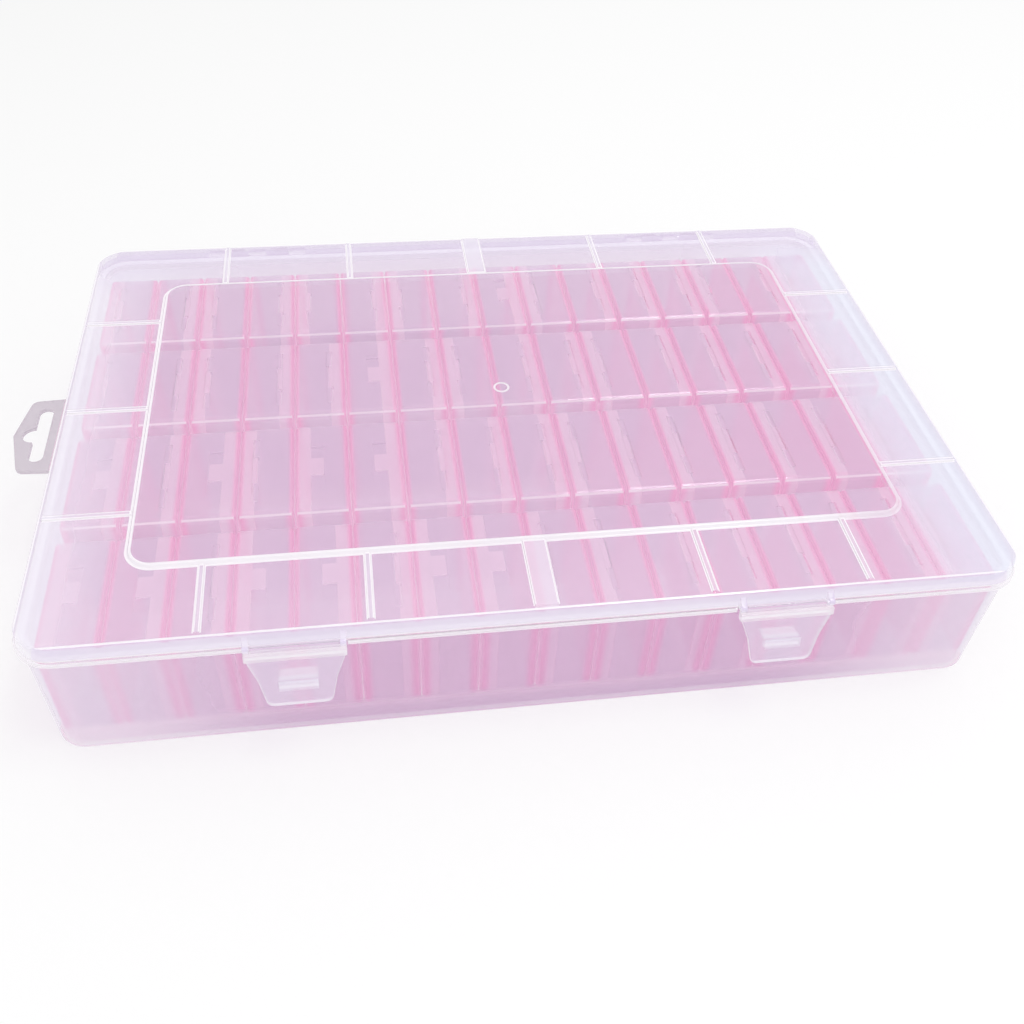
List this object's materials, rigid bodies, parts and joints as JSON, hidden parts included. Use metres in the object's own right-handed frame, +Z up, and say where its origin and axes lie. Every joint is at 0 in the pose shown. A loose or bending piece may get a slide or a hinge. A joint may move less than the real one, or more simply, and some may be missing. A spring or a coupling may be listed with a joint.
{
  "type": "storage case with small boxes",
  "caption": "Flat translucent case with a hinged lid, two front latches and a hanging tab, filled with rows of small upright flip-lid boxes.",
  "frame": {"origin": "centre of the underside of the tray, on the surface that the case stands on", "axes": "+X to the right along the case's length, away from the hanging tab; +Y to the back, towards the lid hinge; +Z up"},
  "size_m": [0.3621, 0.2493, 0.0572],
  "materials": {
    "case_tray": "glossy translucent moulded polypropylene",
    "case_lid": "glossy translucent moulded polypropylene",
    "latch": "satin milky moulded polypropylene",
    "small_box_body": "glossy translucent pink-tinted polypropylene",
    "small_box_lid": "glossy translucent pink-tinted polypropylene"
  },
  "bodies": {
    "case": {"tray": "case_tray", "column_01_box_bodies": "small_box_body", "column_01_box_lids": "small_box_lid", "column_02_box_bodies": "small_box_body", "column_02_box_lids": "small_box_lid", "column_03_box_bodies": "small_box_body", "column_03_box_lids": "small_box_lid", "column_04_box_bodies": "small_box_body", "column_04_box_lids": "small_box_lid", "column_05_box_bodies": "small_box_body", "column_05_box_lids": "small_box_lid", "column_06_box_bodies": "small_box_body", "column_06_box_lids": "small_box_lid", "column_07_box_bodies": "small_box_body", "column_07_box_lids": "small_box_lid", "column_08_box_bodies": "small_box_body", "column_08_box_lids": "small_box_lid", "column_09_box_bodies": "small_box_body", "column_09_box_lids": "small_box_lid", "column_10_box_bodies": "small_box_body", "column_10_box_lids": "small_box_lid", "column_11_box_bodies": "small_box_body", "column_11_box_lids": "small_box_lid", "column_12_box_bodies": "small_box_body", "column_12_box_lids": "small_box_lid", "column_13_box_bodies": "small_box_body", "column_13_box_lids": "small_box_lid", "column_14_box_bodies": "small_box_body", "column_14_box_lids": "small_box_lid", "column_15_box_bodies": "small_box_body", "column_15_box_lids": "small_box_lid", "column_16_box_bodies": "small_box_body", "column_16_box_lids": "small_box_lid"},
    "lid": {"case_lid": "case_lid"},
    "left_latch": {"latch_left": "latch"},
    "right_latch": {"latch_right": "latch"}
  },
  "joints": [
    {"name": "lid_hinge", "type": "hinge", "parent": "case", "child": "lid", "pos_m": [0, 0.121, 0.0495], "axis": [-1, 0, 0], "range_deg": [0, 180]},
    {"name": "left_latch_hinge", "type": "hinge", "parent": "lid", "child": "left_latch", "pos_m": [-0.0825, -0.1192, 0.0513], "axis": [-1, 0, 0], "range_deg": [0, 110]},
    {"name": "right_latch_hinge", "type": "hinge", "parent": "lid", "child": "right_latch", "pos_m": [0.0825, -0.1192, 0.0513], "axis": [-1, 0, 0], "range_deg": [0, 110]}
  ]
}
